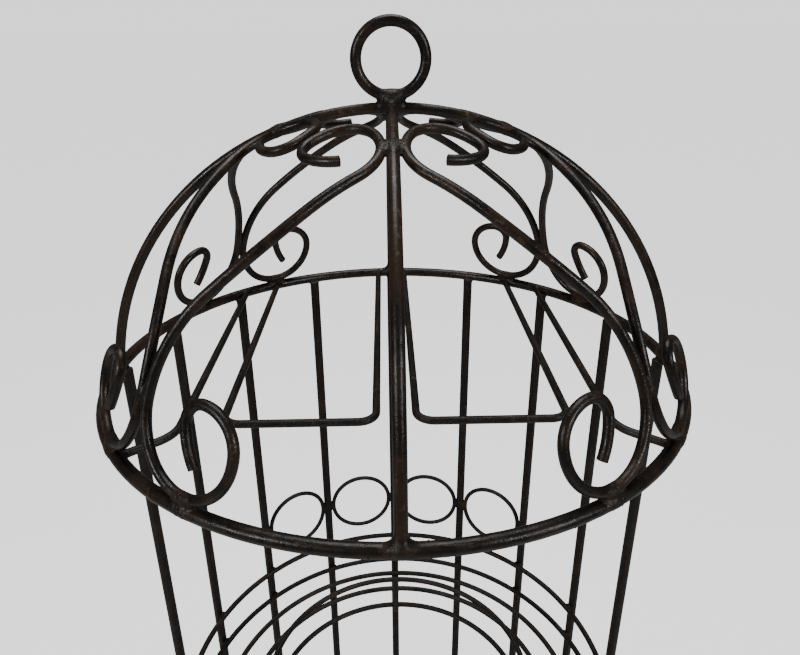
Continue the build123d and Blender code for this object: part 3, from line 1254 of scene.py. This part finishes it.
def far_welds(name: str, seams: Iterable[Seam], detail: int, seed: int) -> None:
    """Builds one piece of the small dark welds that lie along these seams.

    Args:
        name: the piece's name.
        seams: where the welds lie.
        detail: how finely each lump is divided.
        seed: the start of the piece's random numbers.
    """
    LumpPiece(name, list(seams), detail, seed=seed, finish=FAR_WELD_IRON).build()


# ------------------------------------------------------------------ bottle shelf
@dataclass
class Shelf:
    """The ring-shaped bottle shelf round its open well."""

    bars: list[Upright]
    hoop: Hoop = field(default_factory=lambda: Hoop.of("shelf_hoop"))
    guard: Hoop = field(default_factory=lambda: Hoop.of("shelf_guard_hoop"))
    well: Hoop = field(default_factory=lambda: Hoop.of("well_ring"))
    well_guard: Hoop = field(default_factory=lambda: Hoop.of("well_guard_ring"))

    def bracket_seams(self) -> Iterator[Seam]:
        """Gives the welds of the rings on the four brackets."""
        rings = [Hoop.of(name) for name in nodes_named("shelf_ring_")]
        for azimuth in QUARTERS:
            for ring in (*rings, self.hoop):
                yield crossing_seam(ring, azimuth, ring.rod)
            for ring in (self.well, self.well_guard):
                place = ring.at(azimuth, outside=-ring.rod)
                yield Seam(place, around(azimuth), UP, 8 * MM, 5.6 * MM, 3.6 * MM, 3)
        for hoop in (self.hoop, self.guard):
            place = hoop.at(180.0, outside=hoop.rod)
            yield Seam(place, around(180.0), UP, 8 * MM, 5.6 * MM, 3.6 * MM, 3)

    def bracket_ends(self) -> Iterator[Joint]:
        """Gives the welds where three brackets end on bars."""
        sides = {-90.0: "left", 0.0: "back", 90.0: "right"}
        for name, bar in zip(nodes_named("cage_bar_"), self.bars):
            for azimuth, side in sides.items():
                if abs(bar.azimuth - azimuth) < 1.0:
                    inward = -outward(azimuth) * 0.8 * bar.rod
                    place = bar.axis + inward + UP * (self.hoop.level - 2 * self.hoop.rod)
                    yield Joint(place, name, (f"shelf_bracket_{side}",), 8.5 * MM, 4.0 * MM,
                                0.3 * MM, 0.9 * MM, cell=0.55 * MM)

    def build(self) -> None:
        """Paints the shelf and builds its welds."""
        names = [*nodes_named("shelf_"), *nodes_named("well_")]
        dress(names, WIRE_IRON)
        seams = [*hoop_seams(self.hoop, self.bars), *hoop_seams(self.guard, self.bars)]
        far_welds("shelf_hoop_welds", seams, 3, 23)
        far_welds("shelf_bracket_welds", self.bracket_seams(), 3, 29)
        Welder.only().piece("shelf_bracket_end_welds", self.bracket_ends(), 120, FAR_WELD_IRON)


# ------------------------------------------------------------------ cage floor
@dataclass
class Floor:
    """The round floor of the cage and its guard hoop."""

    bars: list[Upright]
    base: Hoop = field(default_factory=lambda: Hoop.of("base_ring"))
    guard: Hoop = field(default_factory=lambda: Hoop.of("floor_guard_hoop"))

    def rod_ends(self) -> Iterator[Joint]:
        """Gives the welds where the floor's rods end on the base ring."""
        rods = ("floor_back_rod", "floor_cross_rod", "floor_front_rod", "floor_cross_rod")
        for azimuth, rod in zip(QUARTERS, rods):
            place = self.base.at(azimuth, outside=-0.8 * self.base.rod)
            yield Joint(place, "base_ring", (rod,), 9.5 * MM, 4.5 * MM, 0.3 * MM, 1.0 * MM,
                        cell=0.55 * MM)

    def ring_seams(self) -> Iterator[Seam]:
        """Gives the welds of the floor's rings on its rods, and of its guard hoop."""
        for name in nodes_named("floor_ring_"):
            ring = Hoop.of(name)
            for azimuth in QUARTERS:
                yield crossing_seam(ring, azimuth, ring.rod)
        place = self.guard.at(180.0, outside=self.guard.rod)
        yield Seam(place, around(180.0), UP, 8 * MM, 5.6 * MM, 3.6 * MM, 3)

    def build(self) -> None:
        """Paints the floor and builds its welds."""
        dress(["base_ring", *nodes_named("floor_")], WIRE_IRON)
        Welder.only().piece("floor_rod_welds", self.rod_ends(), 110, FAR_WELD_IRON)
        far_welds("floor_ring_welds", self.ring_seams(), 2, 31)
        far_welds("floor_guard_welds", hoop_seams(self.guard, self.bars), 3, 37)


# ------------------------------------------------------------------ legs
@dataclass
class Legs:
    """Four bowed legs, the ring that ties them and their pads."""

    base: Hoop = field(default_factory=lambda: Hoop.of("base_ring"))
    tie: Hoop = field(default_factory=lambda: Hoop.of("leg_tie_ring"))
    pads: tuple[Vector, Vector] = field(default_factory=lambda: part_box("foot_pads"))
    pad: float = 13.0 * MM

    def joints(self) -> Iterator[Joint]:
        """Gives each leg's welds, to the base ring, the tie ring and its pad."""
        low, high = self.pads
        toe = math.hypot(high.x - self.pad, high.y - self.pad)
        for turn, quarter in enumerate(Dome.QUARTER_NAMES):
            azimuth, leg = 45.0 + 90.0 * turn, f"leg_{quarter}"
            top = self.base.at(azimuth, above=-0.8 * self.base.rod)
            yield Joint(top, "base_ring", (leg,), 12.5 * MM, 6.0 * MM, 0.45 * MM, 1.3 * MM,
                        cell=0.6 * MM)
            ankle = self.tie.at(azimuth, outside=self.tie.rod)
            yield Joint(ankle, "leg_tie_ring", (leg,), 10.5 * MM, 5.0 * MM, 0.45 * MM, 1.3 * MM,
                        cell=0.6 * MM)
            yield Joint(polar(toe, azimuth, high.z), "foot_pads", (leg,), 9.0 * MM, 4.0 * MM,
                        0.25 * MM, 0.8 * MM, cell=0.6 * MM)

    def build(self) -> None:
        """Paints the legs and builds their welds."""
        dress([*nodes_named("leg_"), "foot_pads"], LEG_IRON)
        Welder.only().piece("leg_welds", self.joints(), 130, FAR_WELD_IRON)


# ------------------------------------------------------------------ studio
@dataclass(frozen=True)
class Lamp:
    """A soft area lamp."""

    name: str
    place: tuple[float, float, float]
    size: float
    power: float
    shine: float = 1.0


@dataclass
class Studio:
    """A pale floor, soft lamps and the camera."""

    target: Vector
    floor_colour: Colour = (0.80, 0.80, 0.80)
    floor_size: float = 400.0
    floor_glow: float = 1.72
    sky: Colour = (1.0, 1.0, 1.0)
    sky_seen: float = 1.44
    sky_light: float = 0.065
    lamps: tuple[Lamp, ...] = (
        Lamp("left_lamp", (-1.9, -1.7, 2.2), 0.45, 22.0),
        Lamp("right_lamp", (1.9, -1.7, 2.2), 0.45, 22.0),
        Lamp("top_lamp", (0.0, 0.6, 3.8), 1.6, 40.0, 0.1),
    )
    camera_offset: tuple[float, float, float] = (-0.0057, -0.5184, 0.2590)
    pitch: float = 23.764
    yaw: float = 1.185
    roll: float = -0.443
    lens: float = 31.0
    sensor: float = 36.0

    def build_floor(self) -> None:
        """Lays the pale floor."""
        half = self.floor_size / 2
        corners = [(-half, -half, 0), (half, -half, 0), (half, half, 0), (-half, half, 0)]
        mesh = bpy.data.meshes.new("studio_floor")
        mesh.from_pydata(corners, [], [(0, 1, 2, 3)])
        material = bpy.data.materials.new("pale_floor")
        material.use_nodes = True
        shader = material.node_tree.nodes["Principled BSDF"]
        shader.inputs["Base Color"].default_value = (*self.floor_colour, 1.0)
        shader.inputs["Roughness"].default_value = 0.85
        shader.inputs["Emission Color"].default_value = (*self.floor_colour, 1.0)
        glow = shader.inputs["Emission Strength"]
        self.seen_only(material.node_tree, glow, self.floor_glow, 0.0)
        mesh.materials.append(material)
        floor = bpy.data.objects.new("studio_floor", mesh)
        bpy.context.scene.collection.objects.link(floor)
        floor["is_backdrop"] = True

    @staticmethod
    def seen_only(
        tree: bpy.types.NodeTree, strength: bpy.types.NodeSocket, seen: float, light: float
    ) -> None:
        """Gives a strength that is one value where it is seen and another as light.

        Args:
            tree: the tree that the strength is in.
            strength: the socket that takes the strength.
            seen: the strength of what is seen directly.
            light: the strength of the light that it sheds.
        """
        writer = TreeWriter(tree)
        direct = writer.add("ShaderNodeLightPath").outputs["Is Camera Ray"]
        tree.links.new(writer.maths("MULTIPLY_ADD", direct, seen - light, light), strength)

    def build_light(self) -> None:
        """Sets the sky and hangs the lamps."""
        world = bpy.data.worlds.new("studio_sky")
        world.use_nodes = True
        back = world.node_tree.nodes["Background"]
        back.inputs["Color"].default_value = (*self.sky, 1.0)
        self.seen_only(world.node_tree, back.inputs["Strength"], self.sky_seen, self.sky_light)
        bpy.context.scene.world = world
        for lamp in self.lamps:
            light = bpy.data.lights.new(lamp.name, "AREA")
            light.size = lamp.size
            light.energy = lamp.power
            light.specular_factor = lamp.shine
            thing = bpy.data.objects.new(lamp.name, light)
            thing.location = lamp.place
            way = self.target - Vector(lamp.place)
            thing.rotation_euler = way.to_track_quat("-Z", "Y").to_euler()
            bpy.context.scene.collection.objects.link(thing)

    def build_camera(self) -> None:
        """Sets up the camera in front of the dome, looking down into it."""
        pitch, yaw, roll = map(math.radians, (self.pitch, self.yaw, self.roll))
        ahead = Vector((math.sin(yaw) * math.cos(pitch), math.cos(yaw) * math.cos(pitch),
                        -math.sin(pitch)))
        level = Vector((math.cos(yaw), -math.sin(yaw), 0.0))
        above = level.cross(ahead)
        right = level * math.cos(roll) + above * math.sin(roll)
        up = above * math.cos(roll) - level * math.sin(roll)
        lens = bpy.data.cameras.new("camera")
        lens.lens = self.lens
        lens.sensor_width = self.sensor
        lens.clip_start = 0.02
        lens.clip_end = 200.0
        camera = bpy.data.objects.new("camera", lens)
        turned = Matrix((right, up, -ahead)).transposed().to_4x4()
        place = Matrix.Translation(self.target + Vector(self.camera_offset))
        camera.matrix_world = place @ turned
        bpy.context.scene.collection.objects.link(camera)
        bpy.context.scene.camera = camera

    def build(self) -> None:
        """Builds the floor, the light and the camera."""
        self.build_floor()
        self.build_light()
        self.build_camera()


def write_sizes() -> None:
    """Works out the frame's box and the finished model's box, as lists of corners."""
    boxes = {"cad": CAD_BOX, "visual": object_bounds()}
    plain = {name: [list(corner) for corner in box] for name, box in boxes.items()}


def main() -> None:
    """Builds every part of the scene in order."""
    logging.basicConfig(level=logging.INFO, format="%(name)s: %(message)s")
    dome = Dome()
    Studio(target=UP * dome.shape.rim.level).build()
    dome.build()
    GlassRails().build()
    cage = Cage()
    cage.build()
    Shelf(cage.bars).build()
    Floor(cage.bars).build()
    Legs().build()
    write_sizes()


if __name__ == "__main__":
    main()
